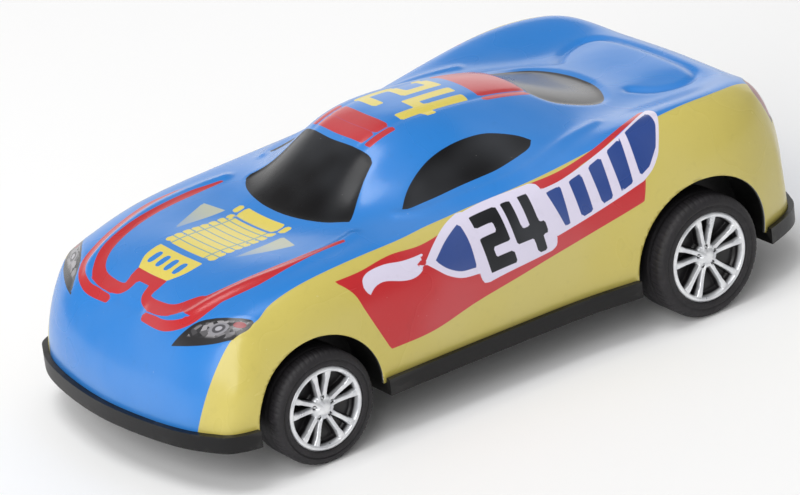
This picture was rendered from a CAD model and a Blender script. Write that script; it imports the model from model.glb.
"""Looks of the pull-back toy car: printed tin body, black chassis, rubber tyres on bright rims."""
import math

import bpy
import numpy as np
from mathutils import Matrix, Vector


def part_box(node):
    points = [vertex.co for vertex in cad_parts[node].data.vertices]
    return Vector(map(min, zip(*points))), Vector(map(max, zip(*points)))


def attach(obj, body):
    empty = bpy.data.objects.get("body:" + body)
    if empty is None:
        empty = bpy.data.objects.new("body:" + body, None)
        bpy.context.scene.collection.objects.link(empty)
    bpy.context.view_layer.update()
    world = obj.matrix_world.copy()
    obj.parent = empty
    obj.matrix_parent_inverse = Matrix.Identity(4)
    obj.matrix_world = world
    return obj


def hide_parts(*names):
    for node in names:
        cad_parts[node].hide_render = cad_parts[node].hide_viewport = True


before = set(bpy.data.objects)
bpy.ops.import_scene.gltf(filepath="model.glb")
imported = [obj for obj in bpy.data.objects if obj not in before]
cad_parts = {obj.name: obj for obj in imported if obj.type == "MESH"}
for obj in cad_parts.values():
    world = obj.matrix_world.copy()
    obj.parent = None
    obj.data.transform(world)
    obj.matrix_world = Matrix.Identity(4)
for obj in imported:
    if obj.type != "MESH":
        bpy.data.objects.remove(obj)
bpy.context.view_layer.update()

mm = 0.001


# ---- places from the frame, in metres --------------------------------------------------
def corners(node):
    low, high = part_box(node)
    return np.array(low), np.array(high)


def middle(node):
    low, high = corners(node)
    return (low + high) / 2


front_axle, rear_axle = middle("front_axle"), middle("rear_axle")
shell_low = corners("body_shell")[0]
tin = 0.4 * mm
plate = 1.5 * mm
underside = shell_low[2]
deck = underside + plate
front_arch_radius, rear_arch_radius = 9.5 * mm, 10.7 * mm
rear_arch_shift = 0.6 * mm
arches = [(front_axle[0], front_axle[2], front_arch_radius),
          (rear_axle[0] - rear_arch_shift, rear_axle[2], rear_arch_radius)]


# ---- body form -------------------------------------------------------------------------
# Rows of the net run from the centre line to the left sill and follow each other from nose
# to tail.  Millimetres; x is measured forwards from the rear axle and z from the ground.
FOOT = 7.35
BODY_NET = {
    "nose foot": [(78.15, 0, FOOT), (77.8, 6, FOOT), (76.9, 12, FOOT), (75.7, 16.5, FOOT),
                  (74.2, 19.8, FOOT), (72.6, 21.6, FOOT), (70.2, 22.5, FOOT)],
    "nose face": [(77.6, 0, 12.4), (77.3, 6, 12.4), (76.5, 12, 12.3), (75.0, 16.9, 12.2),
                  (73.0, 20.3, 12.0), (70.4, 22.3, 10.8), (67.5, 22.7, FOOT)],
    "nose brow": [(74.8, 0, 17.6), (74.6, 6, 17.6), (73.9, 12.2, 18.2), (71.9, 17.2, 18.6),
                  (69.5, 20.8, 17.6), (66.8, 22.6, 12.6), (64.0, 22.8, FOOT)],
    "hood front": [(69.5, 0, 21.8), (69.3, 6, 21.9), (68.7, 12.2, 21.9), (67.2, 17.4, 21.7),
                   (65.0, 21.2, 19.4), (62.5, 22.8, 13.5), (60.0, 22.8, FOOT)],
    "hood": [(60.5, 0, 23.8), (60.3, 6, 23.8), (60.0, 12, 23.8), (59.0, 17.6, 23.5),
             (57.5, 21.4, 21.0), (56.0, 22.9, 14.0), (54.5, 22.7, FOOT)],
    "cowl": [(49.5, 0, 24.5), (49.0, 6, 24.6), (47.5, 12.2, 24.6), (47.0, 18.0, 24.3),
             (46.5, 21.4, 21.6), (46.5, 22.9, 14.0), (46.0, 22.6, FOOT)],
    "roof front": [(38.6, 0, 31.6), (38.0, 6.5, 31.0), (37.0, 12.2, 27.3), (36.5, 18.0, 24.8),
                   (36.5, 21.4, 22.0), (36.5, 22.9, 14.0), (36.5, 22.6, FOOT)],
    "roof": [(26, 0, 33.0), (26, 6.8, 32.2), (26, 13, 28.8), (26, 18.2, 25.6),
             (26, 21.6, 22.4), (26, 23.0, 14.0), (26, 22.7, FOOT)],
    "roof rear": [(13, 0, 31.3), (13, 6.4, 30.4), (13, 13, 28.0), (13.5, 18.7, 27.0),
                  (14.5, 22.2, 23.6), (15, 23.6, 14.5), (16, 23.2, FOOT)],
    "deck front": [(0.5, 0, 27.0), (0.5, 7, 26.8), (0.5, 13, 26.4), (0.5, 19.3, 28.0),
                   (1.5, 23.6, 25.0), (2.5, 25.4, 15.5), (4, 24.8, FOOT)],
    "deck": [(-10, 0, 26.6), (-10, 7, 26.5), (-10, 13, 26.3), (-9.5, 19.4, 27.8),
             (-8.5, 23.8, 24.6), (-8, 25.4, 15.5), (-7.5, 24.8, FOOT)],
    "tail edge": [(-18.6, 0, 24.2), (-18.4, 7, 24.2), (-17.9, 13, 24.4), (-16.6, 18.3, 24.6),
                  (-15.0, 22.0, 21.6), (-14.2, 23.6, 14.4), (-14, 23.0, FOOT)],
    "tail face": [(-21.4, 0, 15.5), (-21.2, 7, 15.5), (-20.6, 13, 15.5), (-19.2, 18.2, 15.4),
                  (-17.6, 20.8, 14.0), (-17.0, 21.8, 11.2), (-17.2, 21.4, FOOT)],
    "tail foot": [(-22.15, 0, FOOT), (-21.9, 7, FOOT), (-21.3, 12.5, FOOT), (-20.4, 16.0, FOOT),
                  (-19.7, 18.0, FOOT), (-19.2, 19.2, FOOT), (-18.6, 20.2, FOOT)],
}


def knots(count, degree=3):
    inner = np.linspace(0, 1, count - degree + 1)
    return np.concatenate([np.zeros(degree), inner, np.ones(degree)])


def spline_basis(count, at, degree=3):
    """N_i,d(t) = (t - k_i)/(k_i+d - k_i) N_i,d-1 + (k_i+d+1 - t)/(k_i+d+1 - k_i+1) N_i+1,d-1."""
    knot = knots(count, degree)
    at = np.clip(at, 0, 1 - 1e-12)[:, None]
    basis = ((at >= knot[:-1]) & (at < knot[1:])).astype(float)
    for d in range(1, degree + 1):
        span, next_span = knot[d:-1] - knot[:-d - 1], knot[d + 1:] - knot[1:-d]
        up = np.where(span > 0, (at - knot[:-d - 1]) / np.where(span > 0, span, 1), 0)
        down = np.where(next_span > 0, (knot[d + 1:] - at) / np.where(next_span > 0, next_span, 1), 0)
        basis = up * basis[:, :-1] + down * basis[:, 1:]
    return basis


def net_poles():
    """Poles of the cubic surface that passes through every point of the net, both sides."""
    half = np.array(list(BODY_NET.values())) * mm
    half[..., 0] += rear_axle[0]
    half[..., 2] += deck - FOOT * mm
    net = np.concatenate([half[:, 1:][:, ::-1] * (1, -1, 1), half], 1)
    rows, columns = net.shape[:2]
    at_rows, at_columns = (np.array([knots(n)[i + 1:i + 4].mean() for i in range(n)])
                           for n in (rows, columns))
    by_row = np.linalg.solve(spline_basis(rows, at_rows), net.reshape(rows, -1)).reshape(net.shape)
    return np.einsum("cj,ijk->ick", np.linalg.inv(spline_basis(columns, at_columns)), by_row)


POLES = net_poles()


def skin(u, v):
    """P(u, v) = sum over i, j of N_i(v) N_j(u) pole_ij; u runs right sill to left, v nose to tail."""
    rows, columns = POLES.shape[:2]
    along = np.einsum("ni,ijk->njk", spline_basis(rows, v), POLES)
    return np.einsum("nj,njk->nk", spline_basis(columns, u), along)


def skin_slopes(u, v, step=1e-4):
    """dP/du and dP/dv by central differences."""
    low_u, high_u = np.clip(u - step, 0, 1), np.clip(u + step, 0, 1)
    low_v, high_v = np.clip(v - step, 0, 1), np.clip(v + step, 0, 1)
    return ((skin(high_u, v) - skin(low_u, v)) / (high_u - low_u)[:, None],
            (skin(u, high_v) - skin(u, low_v)) / (high_v - low_v)[:, None])


def skin_normals(u, v):
    """Outward unit normals, (dP/du x dP/dv) turned to point away from the car's middle."""
    inner_u, inner_v = np.clip(u, 0.004, 0.996), np.clip(v, 0.004, 0.996)
    normal = np.cross(*skin_slopes(inner_u, inner_v))
    normal /= np.linalg.norm(normal, axis=1, keepdims=True)
    return normal * np.sign((normal * (skin(u, v) - (0, 0, deck))).sum(1).sum())


# The print sheet: L is the distance from the nose's foot along the centre line, S the
# distance across from the centre line, to the left when positive.  Both in millimetres.
SHEET_STEPS = 401
_line = np.linspace(0, 1, SHEET_STEPS)
_fine_u, _fine_v = np.meshgrid(_line, _line)
_fine = skin(_fine_u.ravel(), _fine_v.ravel()).reshape(SHEET_STEPS, SHEET_STEPS, 3) / mm
_half = SHEET_STEPS // 2
_steps_l = np.linalg.norm(np.diff(_fine[:, _half], axis=0), axis=1)
SHEET_L = np.concatenate([[0], np.cumsum(_steps_l)])
_steps_s = np.linalg.norm(np.diff(_fine, axis=1), axis=2)
SHEET_S = np.concatenate([np.zeros((SHEET_STEPS, 1)), np.cumsum(_steps_s, 1)], 1)
SHEET_S -= SHEET_S[:, _half:_half + 1]


def sheet_place(u, v):
    """(L, S) at surface parameters, read between the sheet's grid lines."""
    row, column = v * (SHEET_STEPS - 1), u * (SHEET_STEPS - 1)
    i, j = np.minimum(row.astype(int), SHEET_STEPS - 2), np.minimum(column.astype(int), SHEET_STEPS - 2)
    a, b = row - i, column - j
    s = (SHEET_S[i, j] * (1 - a) * (1 - b) + SHEET_S[i + 1, j] * a * (1 - b)
         + SHEET_S[i, j + 1] * (1 - a) * b + SHEET_S[i + 1, j + 1] * a * b)
    return np.interp(v, _line, SHEET_L), s


def even_lines(steps, count):
    """Parameters of count lines that lie evenly by length, for given lengths of small steps."""
    length = np.concatenate([[0], np.cumsum(steps)])
    return np.interp(np.linspace(0, length[-1], count), length, _line)


# ---- drawing on the sheet --------------------------------------------------------------
def smooth(points, samples=6):
    """Catmull-Rom curve through the points: p(t) = h00 p0 + h10 m0 + h01 p1 + h11 m1."""
    p = np.array(points, float)
    m = np.gradient(p, axis=0)
    t = np.linspace(0, 1, samples, endpoint=False)[:, None, None]
    h00, h10 = 2 * t**3 - 3 * t**2 + 1, t**3 - 2 * t**2 + t
    h01, h11 = -2 * t**3 + 3 * t**2, t**3 - t**2
    curve = h00 * p[:-1] + h10 * m[:-1] + h01 * p[1:] + h11 * m[1:]
    return np.concatenate([curve.transpose(1, 0, 2).reshape(-1, 2), p[-1:]])


def to_line(place, path, width=None):
    """Distance from each place to a path; width, one per path point, is taken off it."""
    a, b = path[:-1], path[1:]
    edge = b - a
    rel = place[:, None] - a
    t = np.clip((rel * edge).sum(-1) / np.maximum((edge**2).sum(-1), 1e-12), 0, 1)
    away = np.linalg.norm(rel - t[..., None] * edge, axis=-1)
    if width is not None:
        away = away - (width[:-1] + t * (width[1:] - width[:-1]))
    return away.min(1)


def inside(place, path):
    """Signed distance to a closed outline, positive inside it (crossing number rule)."""
    path = np.concatenate([path, path[:1]])
    a, b = path[:-1], path[1:]
    x, y = place[:, :1], place[:, 1:]
    straddles = (a[:, 1] > y) != (b[:, 1] > y)
    rise = np.where(b[:, 1] == a[:, 1], 1, b[:, 1] - a[:, 1])
    crossing = a[:, 0] + (y - a[:, 1]) * (b[:, 0] - a[:, 0]) / rise
    odd = (straddles & (x < crossing)).sum(1) % 2
    return to_line(place, path) * np.where(odd == 1, 1, -1)


def shape(place, *runs):
    """Field of an outline made of smooth runs that meet in corners."""
    return inside(place, np.concatenate([smooth(run)[:-1] for run in runs]))


def stroke(place, points, width):
    """Field of a brush stroke along a smooth curve; width is a number or one per point."""
    width = np.broadcast_to(width, len(points)) / 2
    joined = smooth(np.column_stack([np.array(points, float)]))
    widths = np.interp(np.linspace(0, len(points) - 1, len(joined)), np.arange(len(points)), width)
    return -to_line(place, joined, widths)


def bars(place, boxes, round_by=0.12):
    """Field of a union of upright boxes (x0, x1, y0, y1)."""
    found = np.full(len(place), -1e3)
    for x0, x1, y0, y1 in boxes:
        dx = np.abs(place[:, 0] - (x0 + x1) / 2) - (x1 - x0) / 2 + round_by
        dy = np.abs(place[:, 1] - (y0 + y1) / 2) - (y1 - y0) / 2 + round_by
        outside = np.hypot(np.maximum(dx, 0), np.maximum(dy, 0)) + np.minimum(np.maximum(dx, dy), 0)
        found = np.maximum(found, round_by - outside)
    return found


def bump(distance, width):
    """Soft ridge profile exp(-(d / width)^2)."""
    return np.exp(-(distance / width) ** 2)


def soft_step(x):
    x = np.clip(x, 0, 1)
    return x * x * (3 - 2 * x)


# Outlines on the sheet as (L, distance from the centre line).
PAINT_EDGE = [(0, 17.4), (5.6, 18.8), (11.5, 20.1), (17.3, 20.5), (21.8, 19.6), (29.7, 19.5), (44.7, 20.2),
              (53.8, 21.5), (66, 21.7), (81, 21.3), (93, 21.4), (99, 21.1), (108.4, 19.5), (128, 17)]
WINDSCREEN = [[(38.5, -2.7), (38.5, 2.7), (38.9, 8.7), (40.0, 11.4)],
              [(40.4, 12.0), (44.2, 10.2), (47.8, 8.9)],
              [(50.2, 8.3), (50.7, 7.4), (50.7, 5.9)], [(50.7, 5.9), (50.6, 0), (50.7, -5.9)],
              [(50.7, -5.9), (50.7, -7.4), (50.2, -8.3)], [(47.8, -8.9), (44.2, -10.2), (40.4, -12.0)],
              [(40.0, -11.4), (38.9, -8.7), (38.5, -2.7)]]
SIDE_WINDOW = [[(47.2, 16.1), (50.1, 14.7), (53.3, 13.6), (57.5, 12.5), (62.1, 11.9), (66.1, 11.9),
                (68.5, 12.5), (71.0, 13.8), (72.3, 15.2)],
               [(72.3, 15.2), (71.2, 16.4), (69.2, 17.1), (65.8, 17.8), (62.6, 18.0), (55.0, 17.8),
                (50.5, 17.0), (47.2, 16.1)]]
REAR_WINDOW = [[(79.3, -5.6), (79.2, 0), (79.3, 5.6)], [(79.3, 5.6), (80.2, 7.2), (82, 8.4), (86.5, 9.3),
               (89.4, 8.6), (91.3, 5.8), (92.4, 2.6), (92.6, 0), (92.4, -2.6), (91.3, -5.8), (89.4, -8.6),
               (86.5, -9.3), (82, -8.4), (80.2, -7.2), (79.3, -5.6)]]
HEADLAMP = [[(10.7, 11.8), (12.6, 12.7), (14.5, 13.9), (15.7, 15.9), (16.5, 18.1)],
            [(16.5, 18.1), (17.3, 19.9), (17.0, 20.5)], [(17.0, 20.5), (14.8, 20.9), (12.2, 20.3)],
            [(12.2, 20.3), (11.5, 18.6), (11.1, 16.0), (10.7, 11.8)]]
TAIL_LAMP = [[(106.6, 18.8), (107.5, 21.2), (110.4, 22.2), (113.2, 21.8)],
             [(113.2, 21.8), (115.2, 17), (115.0, 12.5)],
             [(115.0, 12.5), (112.4, 12.3), (109.4, 14.6), (106.6, 18.8)]]
SIDE_FLASH = [[(30.2, 21.4), (34, 21.6), (39.1, 21.3), (45, 22.2), (53.2, 23.0)],
              [(53.2, 23.0), (69, 23.0)],
              [(69, 23.0), (85.2, 23.6)], [(85.2, 23.6), (84.9, 28.0), (84.3, 30.9)],
              [(84.3, 30.9), (69, 32.1), (53.8, 33.6), (35.3, 32.9)],
              [(35.3, 32.9), (33.8, 29.4), (32.7, 26.5), (31.9, 23.9), (30.2, 21.4)]]
FLAME = [[(33.5, 23.8), (33.8, 22.7), (35.0, 22.1), (37.5, 22.1), (40.5, 22.7), (44.7, 23.2)],
         [(44.7, 23.2), (43.8, 23.8), (42.2, 24.2)], [(42.2, 24.2), (43.2, 24.5), (44.6, 24.4)],
         [(44.6, 24.4), (43.4, 25.2), (41.6, 25.4), (39.5, 25.0), (36.8, 24.1), (35.2, 24.2),
          (34.0, 25.0)],
         [(34.0, 25.0), (33.5, 23.8)]]
NOSE_CONE = [[(44.4, 24.5), (47.0, 23.2), (50.2, 22.2), (54.4, 21.5)],
             [(54.4, 21.5), (55, 25), (55.2, 30.4)],
             [(55.2, 30.4), (51.5, 29.6), (48.6, 28.0), (46.2, 26.0), (44.4, 24.5)]]
NOSE_CONE_FILL = [[(46.6, 25.1), (49.4, 23.9), (53.2, 22.9)], [(53.2, 22.9), (53.9, 25.8), (54.1, 29.3)],
                  [(54.1, 29.3), (51.2, 28.6), (48.6, 27.0), (46.6, 25.1)]]
NUMBER_PLATE = [[(54.2, 21.9), (60, 21.7), (67.4, 21.9)], [(67.4, 21.9), (68.3, 22.4), (68.8, 23.4)],
                [(68.8, 23.4), (69.3, 27), (69.5, 30.2)], [(69.5, 30.2), (69.2, 31.0), (68.3, 31.4)],
                [(68.3, 31.4), (62, 31.7), (56.0, 32.0)], [(56.0, 32.0), (54.9, 31.7), (54.5, 30.8)],
                [(54.5, 30.8), (54.1, 26.5), (53.2, 22.8)], [(53.2, 22.8), (53.4, 22.1), (54.2, 21.9)]]
TAIL_FINS = [[(67.7, 23.3), (72.6, 23.2), (78.5, 22.2), (83.6, 20.8), (89.0, 18.2)],
             [(89.0, 18.2), (89.1, 20.6), (88.3, 23.4), (87.4, 26.0)],
             [(87.4, 26.0), (86.2, 27.4), (84.6, 28.3)],
             [(84.6, 28.3), (77, 29.2), (69.2, 29.9)], [(69.2, 29.9), (67.7, 23.3)]]
FIN_STRIPES = [[(69.3, 23.9), (71.9, 23.8), (72.2, 29.0), (71.3, 29.1)],
               [(73.4, 23.8), (75.6, 23.5), (76.3, 28.8), (74.3, 29.0)],
               [(76.9, 23.2), (79.1, 22.7), (79.7, 28.4), (77.9, 28.6)],
               [(80.2, 22.4), (82.6, 21.6), (83.0, 27.8), (81.1, 28.2)],
               [(83.6, 21.2), (88.1, 19.5), (88.2, 22.2), (87.3, 25.0), (85.8, 26.9), (84.2, 27.5)]]
FIN_STRIPE_EDGE = [(66.6, 22.4), (72.4, 22.5), (77.7, 21.9), (81.3, 21.0), (85.3, 19.6), (87.9, 18.5)]
HOOD_INNER = [(18.6, 2.3), (15.7, 2.4), (15.0, 5.4), (15.5, 8.8), (18.1, 11.2), (22.5, 12.6), (28.5, 13.8),
              (33.5, 14.2), (37.4, 13.9)]
HOOD_OUTER = [(13.3, 4.4), (13.1, 9.4), (14.5, 12.6), (18.2, 13.9), (23.0, 15.2), (28.5, 16.6), (34, 16.7)]
HOOD_RIB = [(14.2, 4.2), (14.2, 8.4), (15.2, 11.3), (18.2, 12.6), (23, 13.8), (29, 15.2), (35, 15.4),
            (38.5, 14.8)]
NEAR_STRIPE = [(16.5, 11.6), (20, 13.1), (24.2, 14.2), (29.5, 14.7), (33, 14.9), (36.4, 15.6)]
BELT_LINE = [(46, 15.9), (49, 17.9), (52.5, 18.9), (57, 19.6), (62.5, 20.0), (67.4, 19.8), (71, 19.1),
             (74.6, 17.9), (78.5, 16.6), (82.5, 15.4)]
LID_GROOVE = [(94.4, 7.7), (96.5, 9.9), (99, 11.2), (101.6, 11.4), (103.6, 10.2), (104.4, 7.6),
              (104.7, 3.5),
              (104.8, 0), (104.7, -3.5), (104.4, -7.6), (103.6, -10.2), (101.6, -11.4), (99, -11.2),
              (96.5, -9.9), (94.4, -7.7)]
VENT = [[(18.9, -3.3), (18.9, 3.3)], [(18.9, 3.3), (21.0, 4.6), (23.6, 4.9)], [(23.6, 4.9), (23.6, -4.9)],
        [(23.6, -4.9), (21.0, -4.6), (18.9, -3.3)]]
SCOOP = [[(27.0, 7.0), (34.6, 6.6)], [(34.6, 6.6), (33.2, 10.6)], [(33.2, 10.6), (27.0, 7.0)]]


def numeral_two(x0, x1, y0, y1, w):
    """Block numeral drawn in bars of width w; y grows downwards from y0."""
    half = (y0 + y1) / 2
    return [(x0, x1, y0, y0 + w), (x1 - w, x1, y0, half + w / 2), (x0, x1, half - w / 2, half + w / 2),
            (x0, x0 + w, half - w / 2, y1), (x0, x1, y1 - w, y1)]


def numeral_four(x0, x1, y0, y1, w):
    lower = y0 + 0.62 * (y1 - y0)
    return [(x0, x0 + w, y0, lower), (x0, x1, lower - w / 2, lower + w / 2),
            (x1 - 1.6 * w, x1 - 0.6 * w, y0, y1)]


def print_fields(L, S):
    """Signed distance fields of everything printed on the sheet, by name, in millimetres."""
    T = np.abs(S)
    left = S > 0
    place, one_side = np.stack([L, S], 1), np.stack([L, T], 1)
    # the right side's fins sweep up less than the left side's
    flank = np.stack([L, np.where(left, T, T - 3.0 * soft_step((L - 66) / 16))], 1)
    edge = smooth(PAINT_EDGE)
    fields = {"yellow_side": (T - np.interp(L, edge[:, 0], edge[:, 1])) * 0.99}

    two_stripes = np.maximum(stroke(one_side, HOOD_INNER, [2.0, 1.5, 1.9, 2.1, 1.9, 1.5, 1.3, 1.2, 0.5]),
                             stroke(one_side, HOOD_OUTER, [1.2, 1.5, 1.5, 1.4, 1.3, 1.1, 0.2]))
    near = np.maximum(stroke(one_side, HOOD_INNER[:5], [2.0, 1.5, 1.9, 2.0, 1.9]),
                      stroke(one_side, HOOD_OUTER[:3] + [(17.6, 13.4), (21.8, 13.8)],
                             [1.2, 1.5, 1.6, 1.5, 0.8]))
    near = np.maximum(near, stroke(one_side, NEAR_STRIPE, [2.6, 2.8, 2.7, 1.9, 1.5, 0.5]))
    neck = bars(place, [(17.3, 18.9, -3.2, 3.2)])
    roof = bars(place, [(51.6, 53.6, -5.0, 5.0), (53.9, 56.4, -5.0, 5.0), (71.2, 78.9, -5.0, 5.0)], 0.3)
    strips = bars(one_side, [(51.6, 56.4, 5.4, 6.5), (71.2, 78.9, 5.4, 6.3)], 0.2)
    flash = np.maximum(shape(flank, *SIDE_FLASH), stroke(flank, FIN_STRIPE_EDGE, 0.9))
    hood = np.where(left, near, two_stripes)
    fields["red_print"] = np.max([hood, neck, roof, strips, flash], 0)

    whites = (FLAME, NOSE_CONE, NUMBER_PLATE, TAIL_FINS)
    fields["white_print"] = np.max([shape(flank, *run) for run in whites], 0)
    fins = [inside(flank, np.array(stripe)) for stripe in FIN_STRIPES]
    fields["navy_print"] = np.max([shape(flank, *NOSE_CONE_FILL), *fins], 0)

    # the numerals read upright from each side, leaning with the plate's edges
    lean = 0.16 * (flank[:, 1] - 27)
    reading = np.where(left, L - lean, 122.6 - (L - lean))
    side = np.stack([reading, flank[:, 1]], 1)
    fields["numeral_print"] = np.maximum(bars(side, numeral_two(55.9, 61.0, 23.0, 31.0, 1.75)),
                                         bars(side, numeral_four(61.9, 67.9, 23.0, 31.0, 1.75)))
    on_roof = np.stack([S, 69.4 - L], 1)
    numerals = np.maximum(bars(on_roof, numeral_two(-5.7, -0.6, 0, 11.0, 1.6)),
                          bars(on_roof, numeral_four(0.7, 6.3, 0, 11.0, 1.7)))
    slots = bars(place, [(20.2, 22.6, a, a + 1.1) for a in (-3.4, -1.5, 0.4, 2.3)], 0.5)
    vent = np.minimum(shape(place, *VENT), -slots)
    beads = bars(one_side, [(24.6 + 1.3 * k, 25.8 + 1.3 * k, 4.2, 5.5 - 0.05 * k) for k in range(8)], 0.5)
    bar = bars(one_side, [(35.0, 37.0, -1, 4.3), (35.2, 36.8, 4.75, 5.9)], 0.4)
    block = bars(place, [(24.6, 34.5, -4.2, 4.2)], 0.5)
    fields["ochre_print"] = np.max([numerals, vent, beads, bar, block], 0)
    fields["scoop_print"] = shape(one_side, *SCOOP)
    fields["window_print"] = np.max([shape(place, *WINDSCREEN), shape(one_side, *SIDE_WINDOW)], 0)
    fields["rear_window_print"] = shape(place, *REAR_WINDOW)
    fields["headlamp_print"] = shape(one_side, *HEADLAMP)
    fields["tail_lamp_print"] = shape(one_side, *TAIL_LAMP)
    return fields


def relief(L, S, fields):
    """Height of the pressed shapes over the smooth skin, mm."""
    place, one_side = np.stack([L, S], 1), np.stack([L, np.abs(S)], 1)
    height = 0.34 * bump(to_line(one_side, smooth(HOOD_RIB)), 0.75)
    height += 0.30 * bump(to_line(one_side, smooth(BELT_LINE)), 0.8)
    height -= 0.45 * bump(to_line(place, smooth(LID_GROOVE)), 0.6)
    height -= 0.22 * bump(to_line(place, np.array([(13.9, -4.0), (13.9, 4.0)])), 0.5)
    height -= 0.16 * bump(to_line(one_side, np.array([(51.2, 5.2), (79, 5.2)])), 0.45)
    height -= 0.55 * soft_step((fields["rear_window_print"] + 0.9) / 1.5)
    height -= 0.18 * soft_step((fields["window_print"] + 0.3) / 0.9)
    height -= 0.15 * soft_step((fields["headlamp_print"] + 0.2) / 0.7)
    height -= 0.15 * soft_step((fields["tail_lamp_print"] + 0.2) / 0.7)
    return height - 0.01


# ---- meshes ----------------------------------------------------------------------------
def grid_faces(rows, columns, closed_rows=False, closed_columns=False):
    """Quads of a grid; a closed direction joins its last line to its first."""
    i, j = np.meshgrid(np.arange(rows if closed_rows else rows - 1),
                       np.arange(columns if closed_columns else columns - 1), indexing="ij")
    down, right = (i + 1) % rows, (j + 1) % columns
    quads = np.stack([i * columns + j, i * columns + right,
                      down * columns + right, down * columns + j], -1)
    return quads.reshape(-1, 4)


def make_piece(name, points, faces, body, material, nodes=(), outward_from=None):
    """Object at the origin from points and quads; faces are turned away from outward_from."""
    points = np.ascontiguousarray(points, dtype=np.float32).reshape(-1, 3)
    if outward_from is not None:
        corner = points[faces]
        normal = np.cross(corner[:, 2] - corner[:, 0], corner[:, 3] - corner[:, 1])
        if (normal * (corner.mean(1) - outward_from)).sum() < 0:
            faces = faces[:, ::-1]
    mesh = bpy.data.meshes.new(name)
    mesh.vertices.add(len(points))
    mesh.vertices.foreach_set("co", points.ravel())
    mesh.loops.add(faces.size)
    mesh.loops.foreach_set("vertex_index", np.ascontiguousarray(faces, dtype=np.int32).ravel())
    mesh.polygons.add(len(faces))
    mesh.polygons.foreach_set("loop_start", np.arange(0, faces.size, 4, dtype=np.int32))
    mesh.update(calc_edges=True)
    mesh.shade_smooth()
    piece = bpy.data.objects.new(name, mesh)
    bpy.context.scene.collection.objects.link(piece)
    mesh.materials.append(material)
    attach(piece, body)
    if nodes:
        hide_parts(*nodes)
    return piece


def set_field(mesh, name, values):
    field = mesh.attributes.new(name, "FLOAT", "POINT")
    field.data.foreach_set("value", np.ascontiguousarray(values, dtype=np.float32))


# ---- materials -------------------------------------------------------------------------
class Finish:
    """A node material put together from named steps; numbers go straight on the sockets."""

    def __init__(self, name):
        self.material = bpy.data.materials.new(name)
        self.material.use_nodes = True
        self.tree = self.material.node_tree
        self.tree.nodes.clear()

    def add(self, kind, inputs=(), output=0, **settings):
        node = self.tree.nodes.new(kind)
        for key, value in settings.items():
            setattr(node, key, value)
        for key, value in dict(inputs).items():
            socket = node.inputs[key]
            if isinstance(value, bpy.types.NodeSocket):
                self.tree.links.new(value, socket)
            else:
                socket.default_value = value
        return node.outputs[output]

    def math(self, operation, *values):
        return self.add("ShaderNodeMath", dict(enumerate(values)), operation=operation)

    def field(self, name):
        return self.add("ShaderNodeAttribute", output="Fac", attribute_name=name)

    def ramp(self, value, low, high, to_low=0.0, to_high=1.0, kind="SMOOTHSTEP"):
        return self.add("ShaderNodeMapRange", {"Value": value, "From Min": low, "From Max": high,
                                               "To Min": to_low, "To Max": to_high}, interpolation_type=kind)

    def mix(self, share, a, b):
        colours = {0: share, 6: a, 7: b}
        return self.add("ShaderNodeMix", colours, output=2, data_type="RGBA")

    def noise(self, scale, detail=3.0, roughness=0.5, where=None):
        where = where or self.add("ShaderNodeTexCoord", output="Object")
        return self.add("ShaderNodeTexNoise", {"Vector": where, "Scale": scale, "Detail": detail,
                                               "Roughness": roughness})

    def bump(self, height, strength, distance, normal=None):
        inputs = {"Height": height, "Strength": strength, "Distance": distance}
        if normal is not None:
            inputs["Normal"] = normal
        return self.add("ShaderNodeBump", inputs)

    def done(self, **inputs):
        names = {key.replace("_", " ").title().replace("Ior", "IOR"): value
                 for key, value in inputs.items()}
        surface = self.add("ShaderNodeBsdfPrincipled", names)
        self.add_output(surface)
        return self.material

    def add_output(self, surface):
        node = self.tree.nodes.new("ShaderNodeOutputMaterial")
        self.tree.links.new(surface, node.inputs["Surface"])


def rgb(code):
    """Linear colour from an sRGB hex code."""
    parts = [int(code[k:k + 2], 16) / 255 for k in (0, 2, 4)]
    return tuple(c / 12.92 if c <= 0.04045 else ((c + 0.055) / 1.055) ** 2.4 for c in parts) + (1.0,)


BLUE, YELLOW, RED, WHITE = rgb("1d7dd0"), rgb("c9ba5e"), rgb("bf2026"), rgb("dcd6ea")
NAVY, BLACK, OCHRE = rgb("1e4088"), rgb("070608"), rgb("e0cd58")


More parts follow.
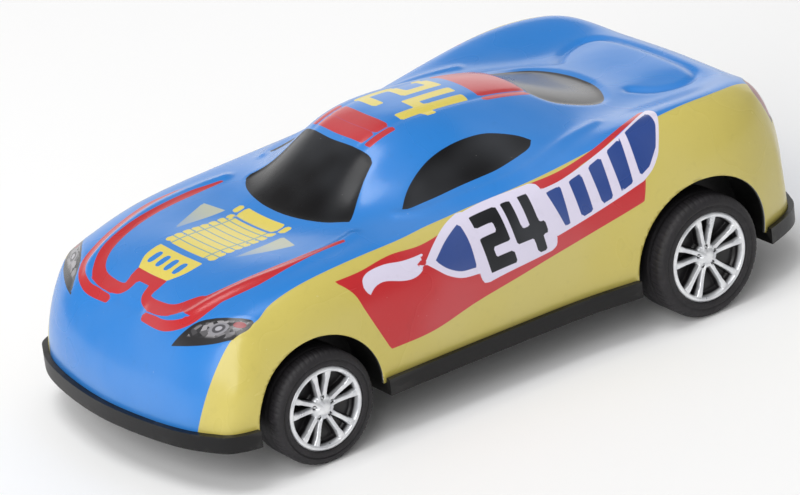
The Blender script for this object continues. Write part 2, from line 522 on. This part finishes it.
def printed_tin():
    """Lithographed sheet: flat inks one over the other under a clear varnish."""
    f = Finish("printed_tin")
    sheet = f.add("ShaderNodeSeparateXYZ", {0: f.add("ShaderNodeUVMap", uv_map="print_sheet")}, output=0)
    along, across = sheet, sheet.node.outputs[1]
    side = f.math("ABSOLUTE", across)
    mottle = f.noise(900.0, 4.0)
    cloud = f.noise(70.0, 2.0)

    def mask(name, grow=0.0):
        return f.ramp(f.field(name), -0.05 - grow, 0.05 - grow)

    def circle(l0, t0, radius, soft=0.06):
        away = f.math("SQRT", f.math("ADD", f.math("POWER", f.math("SUBTRACT", along, l0), 2.0),
                                     f.math("POWER", f.math("SUBTRACT", side, t0), 2.0)))
        return f.ramp(away, radius + soft, radius - soft)

    def line(value, at, width):
        away = f.math("ABSOLUTE", f.math("SUBTRACT", value, at))
        return f.ramp(away, width / 2 + 0.04, width / 2 - 0.04)

    colour = f.mix(mask("yellow_side"), BLUE, YELLOW)
    colour = f.mix(mask("red_print"), colour, RED)
    colour = f.mix(mask("white_print"), colour, WHITE)
    colour = f.mix(mask("navy_print"), colour, NAVY)
    colour = f.mix(mask("numeral_print"), colour, BLACK)

    seams = line(side, 3.75, 0.26)
    for at in (25.9, 27.2, 28.5, 29.8, 31.1, 32.4, 33.6):
        seams = f.math("MAXIMUM", seams, line(along, at, 0.2))
    in_block = f.math("MULTIPLY", f.ramp(along, 24.0, 24.3), f.ramp(along, 34.9, 34.6))
    seams = f.math("MULTIPLY", seams, in_block)
    ochre = f.mix(seams, OCHRE, rgb("6f9aa0"))
    colour = f.mix(mask("ochre_print"), colour, ochre)
    colour = f.mix(f.math("MULTIPLY", mask("scoop_print"), f.ramp(along, 25.5, 33.5, 0.25, 0.8)), colour,
                   rgb("c9c79a"))
    colour = f.mix(mask("window_print"), colour, BLACK)
    colour = f.mix(mask("rear_window_print"), colour, rgb("2a2624"))

    # headlamp: dark surround, silver reflector, round lens and a small red lamp
    chips = f.add("ShaderNodeTexVoronoi", {"Vector": f.add("ShaderNodeUVMap", uv_map="print_sheet"),
                                           "Scale": 1.3}, output="Color")
    reflector = f.mix(f.ramp(chips, 0.3, 0.85), rgb("1d1b1d"), rgb("9a979a"))
    lamp = f.mix(f.ramp(f.field("headlamp_print"), 0.35, 0.75), rgb("141214"), reflector)
    lamp = f.mix(f.ramp(along, 12.6, 12.1), lamp, rgb("1a1718"))
    lamp = f.mix(circle(13.9, 17.4, 1.25), lamp, rgb("8a888d"))
    lamp = f.mix(circle(13.9, 17.4, 0.85), lamp, rgb("454347"))
    lamp = f.mix(circle(13.9, 17.4, 0.45), lamp, rgb("a9a7ad"))
    lamp = f.mix(circle(15.4, 19.5, 0.8), lamp, rgb("8f2a30"))
    colour = f.mix(mask("headlamp_print"), colour, lamp)
    tail = f.mix(f.ramp(f.field("tail_lamp_print"), 0.3, 0.5), rgb("33201c"),
                 f.mix(circle(111.4, 17.4, 1.4), rgb("8c2620"), rgb("c9503f")))
    colour = f.mix(mask("tail_lamp_print"), colour, tail)

    # ink never lies quite even, and the varnish has faint rubbing on the crests
    colour = f.mix(f.ramp(cloud, 0.35, 0.75, 0.0, 0.05), colour, rgb("dfe6f2"))
    colour = f.mix(f.ramp(mottle, 0.55, 0.8, 0.0, 0.05), colour, rgb("101418"))
    scuffs = f.add("ShaderNodeTexNoise", {
        "Vector": f.add("ShaderNodeMapping", {"Vector": f.add("ShaderNodeTexCoord", output="Object"),
                                              "Rotation": (0.2, 0.3, 0.7),
                                              "Scale": (160.0, 2600.0, 900.0)}),
        "Scale": 1.0, "Detail": 2.0})
    scuff_mask = f.ramp(scuffs, 0.72, 0.78, 0.0, 0.22)
    roughness = f.math("ADD", f.ramp(cloud, 0.2, 0.8, 0.24, 0.34), scuff_mask)
    specks = f.ramp(f.noise(1500.0, 2.0), 0.76, 0.80, 0.0, 0.12)
    colour = f.mix(specks, colour, rgb("f2efe6"))
    peel = f.bump(f.noise(260.0, 2.0), 0.12, 0.0003)
    ink_edge = f.bump(mask("red_print"), 0.10, 0.00004, peel)
    glass = f.math("ADD", mask("window_print"), mask("numeral_print"))
    return f.done(base_color=colour, roughness=roughness,
                  specular_ior_level=f.ramp(glass, 0.0, 1.0, 0.42, 0.2),
                  coat_weight=f.ramp(glass, 0.0, 1.0, 0.3, 0.06), coat_roughness=0.16, coat_ior=1.5,
                  normal=ink_edge)


def bare_tin():
    """Inner side and cut edges of the sheet: dull tinplate with fine rolling marks."""
    f = Finish("bare_tin")
    where = f.add("ShaderNodeMapping", {"Vector": f.add("ShaderNodeTexCoord", output="Object"),
                                        "Scale": (60.0, 4000.0, 4000.0)})
    lines = f.add("ShaderNodeTexNoise", {"Vector": where, "Scale": 1.0, "Detail": 3.0})
    colour = f.mix(f.ramp(f.noise(120.0), 0.3, 0.7), rgb("8f9092"), rgb("b4b3ae"))
    return f.done(base_color=colour, metallic=0.9, roughness=f.ramp(lines, 0.2, 0.8, 0.32, 0.55),
                  normal=f.bump(lines, 0.2, 0.00005))


def moulded_plastic(name, dark, light, roughness=0.42, grain=1400.0, bump=0.12, shine=0.5, speckle=None):
    """Injection-moulded plastic: faint orange peel, flow clouds, and rubbed lighter spots."""
    f = Finish(name)
    flow = f.noise(55.0, 3.0)
    fine = f.noise(grain, 3.0)
    colour = f.mix(f.ramp(flow, 0.3, 0.7), dark, light)
    rubbed = f.add("ShaderNodeNewGeometry", output="Pointiness")
    colour = f.mix(f.ramp(rubbed, 0.53, 0.6, 0.0, 0.25), colour, speckle or light)
    wear = f.ramp(f.noise(420.0, 4.0), 0.6, 0.75, 0.0, 0.12)
    dull = f.math("ADD", f.ramp(flow, 0.2, 0.8, roughness - 0.06, roughness + 0.06), wear)
    return f.done(base_color=colour, roughness=dull,
                  specular_ior_level=shine, normal=f.bump(fine, bump, 0.00008))


def worked_metal(name, dark, light, roughness=0.28, stretch=(3000.0, 200.0, 3000.0)):
    """Drawn or turned metal with fine marks along its length."""
    f = Finish(name)
    where = f.add("ShaderNodeMapping", {"Vector": f.add("ShaderNodeTexCoord", output="Object"),
                                        "Scale": stretch})
    marks = f.add("ShaderNodeTexNoise", {"Vector": where, "Scale": 1.0, "Detail": 4.0})
    colour = f.mix(f.ramp(f.noise(150.0), 0.3, 0.7), dark, light)
    return f.done(base_color=colour, metallic=1.0,
                  roughness=f.ramp(marks, 0.2, 0.8, roughness - 0.08, roughness + 0.12),
                  normal=f.bump(marks, 0.25, 0.00004))


def bright_rim():
    """Vacuum-metallised plastic, bright on its high faces and black in the windows."""
    f = Finish("bright_rim")
    height = f.field("window_depth")
    cloud = f.noise(500.0, 3.0)
    silver = f.mix(f.ramp(cloud, 0.3, 0.7), rgb("d4d6da"), rgb("f0f1f3"))
    colour = f.mix(f.ramp(height, 0.15, 0.55), silver, rgb("1b191b"))
    metal = f.ramp(height, 0.15, 0.5, 0.6, 0.0)
    return f.done(base_color=colour, metallic=metal, roughness=f.ramp(cloud, 0.2, 0.8, 0.26, 0.38),
                  normal=f.bump(f.noise(2600.0, 2.0), 0.08, 0.00005))


def tyre_rubber():
    """Soft black vinyl: matt, a little dusty in the grooves, rubbed on the tread."""
    f = Finish("tyre_rubber")
    dust = f.ramp(f.noise(600.0, 4.0), 0.45, 0.75, 0.0, 0.3)
    groove = f.field("groove_depth")
    colour = f.mix(dust, rgb("1c1a1d"), rgb("343034"))
    colour = f.mix(f.ramp(groove, 0.2, 0.8, 0.0, 0.45), colour, rgb("0d0c0d"))
    fine = f.noise(3000.0, 3.0)
    return f.done(base_color=colour, roughness=f.ramp(fine, 0.2, 0.8, 0.55, 0.72), specular_ior_level=0.45,
                  normal=f.bump(fine, 0.2, 0.00008))


# ---- tin body --------------------------------------------------------------------------
body_rows, body_columns = 250, 178
line_v = even_lines(np.linalg.norm(np.diff(_fine[:, ::40], axis=0), axis=2).mean(1), body_rows)
line_u = even_lines(np.linalg.norm(np.diff(_fine[::40], axis=1), axis=2).mean(0), body_columns)


def fit_to_arches(u, v, faces):
    """Drops the faces inside the arch circles and moves the edge left over onto the circles.

    A point of a kept face that lies inside a circle goes out along its radius: the surface
    parameters change by the solution of [dP/du dP/dv] (du, dv) = gap, taken in x and z.
    """
    points = skin(u, v)
    keep = np.ones(len(faces), bool)
    for x, z, radius in arches:
        distance = np.hypot(points[:, 0] - x, points[:, 2] - z)
        within = distance < radius
        keep &= ~within[faces].all(1)
        moving = np.zeros(len(u), bool)
        moving[faces[~within[faces].all(1)]] = True
        moving &= within
        for _ in range(4):
            here = skin(u[moving], v[moving])
            radial = here[:, [0, 2]] - (x, z)
            length = np.linalg.norm(radial, axis=1, keepdims=True)
            gap = radial / length * radius - radial
            slope_u, slope_v = skin_slopes(u[moving], v[moving])
            jacobian = np.stack([slope_u[:, [0, 2]], slope_v[:, [0, 2]]], -1)
            step = np.linalg.solve(jacobian, gap[..., None])[..., 0]
            u[moving] = np.clip(u[moving] + step[:, 0], 0, 1)
            v[moving] = np.clip(v[moving] + step[:, 1], 0, 1)
    return u, v, faces[keep]


def tin_body():
    """Outer skin: P(u, v) + relief(L, S) n(u, v), thickened inwards by the sheet."""
    v, u = (grid.ravel() for grid in np.meshgrid(line_v, line_u, indexing="ij"))
    u, v, faces = fit_to_arches(u, v, grid_faces(body_rows, body_columns))
    L, S = sheet_place(u, v)
    fields = print_fields(L, S)
    points = skin(u, v) + skin_normals(u, v) * (relief(L, S, fields) * mm)[:, None]
    used, faces = np.unique(faces, return_inverse=True)
    faces = faces.reshape(-1, 4)
    piece = make_piece("tin_body", points[used], faces, "car", printed_tin(), ["body_shell"],
                       outward_from=np.array([0, 0, deck]))
    mesh = piece.data
    for name, values in fields.items():
        set_field(mesh, name, values[used])
    sheet = mesh.uv_layers.new(name="print_sheet")
    corner = np.empty(len(mesh.loops), dtype=np.int32)
    mesh.loops.foreach_get("vertex_index", corner)
    sheet.data.foreach_set("uv", np.stack([L[used], S[used]], 1)[corner].astype(np.float32).ravel())
    mesh.materials.append(bare_tin())
    thickness = piece.modifiers.new("sheet", "SOLIDIFY")
    thickness.thickness = tin
    thickness.offset = -1
    thickness.use_rim = True
    thickness.material_offset = 1
    thickness.material_offset_rim = 1
    return piece


# ---- bent tabs -------------------------------------------------------------------------
def bent_tab(x, y, inward):
    """Strip that goes down through the chassis and turns inwards under it.

    The section is a rectangle 3.6 mm by the sheet; it follows a straight drop, a quarter arc
    c + r (sin a, cos a) and a straight end, and closes to a point at both ends.
    """
    width, bend, reach = 3.6 * mm, 0.3 * mm, 2.2 * mm
    arc = np.linspace(0, math.pi / 2, 8)
    floor_line = underside + tin / 2
    drop = np.array([[0, deck - 0.02 * mm], [0, floor_line + bend]])
    turn = np.stack([bend * (1 - np.cos(arc)), floor_line + bend * (1 - np.sin(arc))], 1)
    end = np.array([[reach, floor_line]])
    path = np.concatenate([drop, turn[1:], end])
    direction = np.gradient(path, axis=0)
    direction /= np.linalg.norm(direction, axis=1, keepdims=True)
    normal = np.stack([-direction[:, 1], direction[:, 0]], 1)
    section = np.array([(-1, -1), (1, -1), (1, 1), (-1, 1)]) * (width / 2, tin / 2 * 0.98)
    offset = path[:, None] + section[None, :, 1:] * normal[:, None]
    sideways = np.broadcast_to(section[None, :, :1], offset.shape[:2] + (1,))
    along = np.array(inward, float)
    across = np.array([-along[1], along[0]])
    flat = offset[..., :1] * along + sideways * across + (x, y)
    points = np.concatenate([flat, offset[..., 1:]], -1)
    first, last = points[:1].mean(1, keepdims=True), points[-1:].mean(1, keepdims=True)
    points = np.concatenate([np.broadcast_to(first, (1, 4, 3)), points, np.broadcast_to(last, (1, 4, 3))])
    faces = grid_faces(len(points), 4, closed_columns=True)
    return points.reshape(-1, 3), faces


def body_tabs():
    """The eight tabs of the tin body as one piece."""
    wheelbase = front_axle[0] - rear_axle[0]
    left_sill = skin(np.ones(SHEET_STEPS), _line)
    places = []
    side_tab_shares = (0.26, 0.73)
    end_tab_y = 9.01 * mm
    for share in side_tab_shares:
        x = rear_axle[0] + share * wheelbase
        y = np.interp(-x, -left_sill[:, 0], left_sill[:, 1]) - tin / 2
        places += [(x, y, (0, -1)), (x, -y, (0, 1))]
    for row, inward in ((0.0, -1), (1.0, 1)):
        border = skin(_line, np.full(SHEET_STEPS, row))
        x = np.interp(end_tab_y, border[:, 1], border[:, 0]) + inward * tin
        places += [(x, end_tab_y, (inward, 0)), (x, -end_tab_y, (inward, 0))]
    points, faces = [], []
    for x, y, inward in places:
        tab_points, tab_faces = bent_tab(x, y, inward)
        faces.append(tab_faces + sum(len(p) for p in points))
        points.append(tab_points)
    return make_piece("body_tabs", np.concatenate(points), np.concatenate(faces), "car",
                      bare_tin())


# ---- wheels ----------------------------------------------------------------------------
turns = 540
angle = np.linspace(0, 2 * math.pi, turns, endpoint=False)


def on_wheel(radius, depth, centre, face, side):
    """Points (x, y, z) = centre + radius (cos a, 0, sin a), depth measured in from the face."""
    a = angle[None, :]
    x = centre[0] + radius * np.cos(a)
    z = centre[2] + radius * np.sin(a)
    y = side * (face - depth) * np.ones_like(x)
    return np.stack([x, y, z], -1)


def tyre(name, node, centre, rim_radius, body):
    """Closed ring r(s, a), y(s): seat, stepped side walls, round shoulders and a cut tread."""
    low, high = corners(node)
    side = 1 if low[1] > 0 else -1
    face, width = max(abs(low[1]), abs(high[1])), high[1] - low[1]
    radius = (high[0] - low[0]) / 2
    wall = radius - rim_radius
    shoulder = 1.05 * mm
    arc = np.linspace(0, math.pi / 2, 9)
    outer_side = [(rim_radius, 0.35 * mm), (rim_radius + 0.10 * mm, 0.10 * mm),
                  (rim_radius + 0.30 * mm, 0.03 * mm),
                  (rim_radius + 0.36 * wall, 0.02 * mm), (rim_radius + 0.42 * wall, 0.12 * mm),
                  (rim_radius + 0.47 * wall, 0.02 * mm)]
    corner = [(radius - shoulder * (1 - math.sin(a)), shoulder * (1 - math.cos(a))) for a in arc]
    half = np.array(outer_side + corner)
    mirror = np.stack([half[::-1, 0], width - half[::-1, 1]], 1)
    across = np.linspace(shoulder, width - shoulder, 26)[1:-1]
    tread = np.stack([np.full(len(across), radius), across], 1)
    seat = np.array([(rim_radius, width * 0.7), (rim_radius, width * 0.3)])
    profile = np.concatenate([half, tread, mirror, seat])
    share = profile[:, 1] / width
    on_tread = profile[:, 0] > radius - 0.35 * shoulder
    ring = bump((share - 0.36) * width, 0.22 * mm) + bump((share - 0.64) * width, 0.22 * mm)
    sipe = (0.5 + 0.5 * np.cos(60 * angle[None, :] + 9 * np.abs(share - 0.5)[:, None])) ** 6
    lugs = sipe * (np.abs(share - 0.5) > 0.17)[:, None]
    groove = np.maximum(ring[:, None], 0.5 * lugs) * on_tread[:, None]
    radial = profile[:, :1] - 0.12 * mm * groove
    points = on_wheel(radial, profile[:, 1:], centre, face, side)
    piece = make_piece(name, points, grid_faces(len(profile), turns, True, True), body,
                       RUBBER, [node])
    flip_outward(piece, centre, (radius + rim_radius) / 2, side * (face - width / 2))
    step = bump(profile[:, 0] - rim_radius - 0.42 * wall, 0.08 * mm) * ~on_tread
    set_field(piece.data, "groove_depth", np.maximum(groove, 0.8 * step[:, None]).ravel())
    return piece


def flip_outward(piece, centre, ring_radius, ring_y):
    """Turns a ring's faces away from the circle that runs inside it."""
    mesh = piece.data
    co = np.empty(len(mesh.vertices) * 3, dtype=np.float32)
    mesh.vertices.foreach_get("co", co)
    co = co.reshape(-1, 3)
    index = np.empty(len(mesh.loops), dtype=np.int32)
    mesh.loops.foreach_get("vertex_index", index)
    quad = co[index.reshape(-1, 4)]
    normal = np.cross(quad[:, 2] - quad[:, 0], quad[:, 3] - quad[:, 1])
    middle_point = quad.mean(1)
    radial = middle_point - (centre[0], 0, centre[2])
    radial[:, 1] = 0
    radial /= np.linalg.norm(radial, axis=1, keepdims=True)
    spine = np.array([centre[0], ring_y, centre[2]]) + radial * ring_radius
    if (normal * (middle_point - spine)).sum() < 0:
        mesh.flip_normals()


def rim(name, node, centre, body):
    """Face depth(r, a) over a disc, closed behind by the barrel and a flat back.

    Ten spokes in five pairs stand where |r sin(a - a_k)| is under half a spoke's width; each
    swells towards the rim and the hub.  The lip is a round bead, lug holes are round pits.
    """
    low, high = corners(node)
    side = 1 if low[1] > 0 else -1
    face, width = max(abs(low[1]), abs(high[1])), high[1] - low[1]
    radius = (high[0] - low[0]) / 2
    lip, hub = radius - 0.75 * mm, 1.75 * mm
    r = np.concatenate([np.linspace(0, hub, 9)[1:], np.linspace(hub, lip, 30)[1:],
                        np.linspace(lip, radius, 10)[1:]])
    r, a = r[:, None], angle[None, :]
    pair = 2 * math.pi / 5
    away = np.full((len(r), turns), 1.0)
    for lean in (-12.5, 12.5):
        turn = (a - math.pi / 2 - math.radians(lean) + pair / 2) % pair - pair / 2
        away = np.minimum(away, np.where(np.abs(turn) < math.pi / 3, np.abs(r * np.sin(turn)), 1.0))
    flare = (0.33 * mm + 0.14 * mm * soft_step((r - 0.75 * lip) / (0.25 * lip))
             + 0.10 * mm * soft_step((1.4 * hub - r) / hub))
    spoke = soft_step((flare - away) / (0.16 * mm) + 0.5)
    solid = np.maximum(spoke, soft_step((hub - r) / (0.25 * mm) + 0.5))
    in_lip = soft_step((r - lip) / (0.2 * mm) + 0.5)
    solid = np.maximum(solid, in_lip)
    crown = 0.10 * mm * (1 - (away / (0.4 * mm)) ** 2).clip(0, 1) * (1 - in_lip)
    dish = 0.75 * mm - 0.45 * mm * soft_step((r - hub) / (lip - hub))
    bead = 0.10 * mm + 0.25 * mm * (2 * (r - lip) / (radius - lip) - 1) ** 2
    top = np.where(r > lip, bead, dish - crown)
    cap = soft_step((0.9 * mm - r) / (0.15 * mm) + 0.5)
    top = top - 0.30 * mm * cap - 0.08 * mm * bump(r, 0.5 * mm) * cap
    lug = (a - math.pi / 2 + pair / 2) % pair - pair / 2
    pit_away = np.hypot(r * np.cos(lug) - 1.38 * mm, r * np.sin(lug))
    pit = soft_step((0.30 * mm - pit_away) / (0.10 * mm) + 0.5) * (1 - cap)
    nut = soft_step((0.15 * mm - pit_away) / (0.08 * mm) + 0.5)
    window = 1 - solid
    depth = top + window * 1.5 * mm + pit * 0.35 * mm - nut * 0.2 * mm
    back = 0.62 * width * 0.98
    front = on_wheel(r * np.ones_like(depth), depth, centre, face, side)
    middle_depth = depth[:1].mean()
    pole = on_wheel(np.zeros((1, turns)), np.full((1, turns), middle_depth), centre, face, side)
    rear = on_wheel(np.array([[radius], [0.0]]) * np.ones((2, turns)), np.full((2, turns), width * 0.98),
                    centre, face, side)
    points = np.concatenate([pole, front, rear])
    faces = grid_faces(len(points), turns, closed_columns=True)
    centre_point = np.array([centre[0], side * (face - back), centre[2]])
    piece = make_piece(name, points, faces, body, CHROME, [node],
                       outward_from=centre_point)
    shade = np.maximum(window, 0.75 * pit - nut)
    level = np.concatenate([np.zeros((1, turns)), shade, np.ones((2, turns))])
    set_field(piece.data, "window_depth", level.ravel())
    return piece


RUBBER, CHROME = tyre_rubber(), bright_rim()
tin_body()
body_tabs()
for end, centre in (("front", front_axle), ("rear", rear_axle)):
    for side in ("left", "right"):
        node = f"{end}_{side}_rim"
        rim_low, rim_high = corners(node)
        rim(f"{end}_{side}_wheel_rim", node, centre, f"{end}_wheels")
        tyre(f"{end}_{side}_wheel_tyre", f"{end}_{side}_tyre", centre, (rim_high[0] - rim_low[0]) / 2,
             f"{end}_wheels")


# ---- finishes of the pieces kept from the frame ----------------------------------------
finishes = {
    "black_plastic": moulded_plastic("black_plastic", rgb("0a090a"), rgb("131213"), 0.40, 1800.0, 0.14,
                                     0.3, rgb("4a4947")),
    "case_plastic": moulded_plastic("case_plastic", rgb("20242a"), rgb("2c3138"), 0.46),
    "gear_plastic": moulded_plastic("gear_plastic", rgb("d9d3c2"), rgb("efe9da"), 0.38),
    "steel": worked_metal("steel", rgb("9a9ca0"), rgb("c2c4c8")),
    "spring_steel": worked_metal("spring_steel", rgb("4c5566"), rgb("7a8496"), 0.3, (300.0, 3000.0, 300.0)),
    "screw_steel": worked_metal("screw_steel", rgb("8a8c8e"), rgb("bfc0c2"), 0.32, (2000.0, 2000.0, 300.0)),
}
slot_of_node = {
    "chassis": "black_plastic", "front_axle_cap": "black_plastic", "motor_case_left": "case_plastic",
    "motor_case_right": "case_plastic", "cap_screws": "screw_steel", "case_screws": "screw_steel",
    "motor_screws": "screw_steel", "front_axle": "steel", "rear_axle": "steel",
    "axle_pinion": "gear_plastic",
    "clutch_gear": "gear_plastic", "transfer_gear": "gear_plastic", "spring_drum": "gear_plastic",
    "drum_cover": "gear_plastic", "clutch_gear_shaft": "steel", "transfer_gear_shaft": "steel",
    "spring_arbor": "steel", "mainspring": "spring_steel",
}
for node, slot in slot_of_node.items():
    for material_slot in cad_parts[node].material_slots:
        material_slot.material = finishes[slot]

soft_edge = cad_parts["chassis"].modifiers.new("soft_edges", "BEVEL")
soft_edge.width = 0.3 * mm
soft_edge.segments = 2
soft_edge.limit_method = "ANGLE"
soft_edge.angle_limit = math.radians(50)


# ---- floor, light and camera -----------------------------------------------------------
def floor():
    """Pale table with a very slight unevenness in its tone, large enough to fill the view."""
    f = Finish("pale_floor")
    cloud = f.noise(3.0, 3.0)
    material = f.done(base_color=f.mix(f.ramp(cloud, 0.3, 0.7), rgb("fafafa"), rgb("ffffff")),
                      roughness=f.ramp(cloud, 0.3, 0.7, 0.75, 0.85),
                      normal=f.bump(f.noise(900.0), 0.05, 0.0001))
    reach = 4.0
    mesh = bpy.data.meshes.new("floor")
    corner_points = [(-reach, -reach, 0), (reach, -reach, 0), (reach, reach, 0), (-reach, reach, 0)]
    mesh.from_pydata(corner_points, [], [(0, 1, 2, 3)])
    piece = bpy.data.objects.new("floor", mesh)
    bpy.context.scene.collection.objects.link(piece)
    mesh.materials.append(material)


def softbox(name, place, size, power, colour=(1.0, 1.0, 1.0)):
    """Rectangular area light at a place, facing the car."""
    light = bpy.data.lights.new(name, "AREA")
    light.shape = "RECTANGLE"
    light.size, light.size_y = size
    light.energy = power
    light.color = colour
    lamp = bpy.data.objects.new(name, light)
    back = np.array(place, float)
    back /= np.linalg.norm(back)
    side = np.cross((0, 0, 1), back)
    side /= np.linalg.norm(side)
    up = np.cross(back, side)
    lamp.matrix_world = Matrix([[side[k], up[k], back[k], place[k]] for k in range(3)] + [[0, 0, 0, 1]])
    bpy.context.scene.collection.objects.link(lamp)


def camera():
    """Long lens from the car's left front, a little above it and slightly tilted."""
    azimuth, elevation, roll = math.radians(146.686), math.radians(23.325), math.radians(-6.878)
    place = np.array([325.50, 491.09, 266.25]) * mm
    back = np.array([math.sin(azimuth) * math.cos(elevation), -math.cos(azimuth) * math.cos(elevation),
                     math.sin(elevation)])
    right = np.cross(-back, (0, 0, 1))
    right /= np.linalg.norm(right)
    up = np.cross(right, -back)
    tilted_right = math.cos(roll) * right + math.sin(roll) * up
    tilted_up = -math.sin(roll) * right + math.cos(roll) * up
    data = bpy.data.cameras.new("camera")
    data.lens, data.sensor_width = 218.85, 36.0
    data.clip_start, data.clip_end = 0.05, 20.0
    view = bpy.data.objects.new("camera", data)
    view.matrix_world = Matrix([[tilted_right[k], tilted_up[k], back[k], place[k]] for k in range(3)]
                               + [[0, 0, 0, 1]])
    bpy.context.scene.collection.objects.link(view)
    bpy.context.scene.camera = view


def surroundings():
    """Even white studio air."""
    world = bpy.data.worlds.new("studio")
    world.use_nodes = True
    background = world.node_tree.nodes["Background"]
    background.inputs["Color"].default_value = (1.0, 1.0, 1.0, 1.0)
    background.inputs["Strength"].default_value = 0.40
    bpy.context.scene.world = world


floor()
surroundings()
camera()
softbox("overhead", (0.22, 0.0, 1.0), (0.45, 0.45), 3.4)
softbox("backdrop", (-0.60, -0.92, 0.26), (2.4, 0.6), 4.0)
softbox("key", (1.05, 0.55, 0.75), (1.1, 1.1), 12.0)
bpy.context.scene.view_settings.view_transform = "Standard"
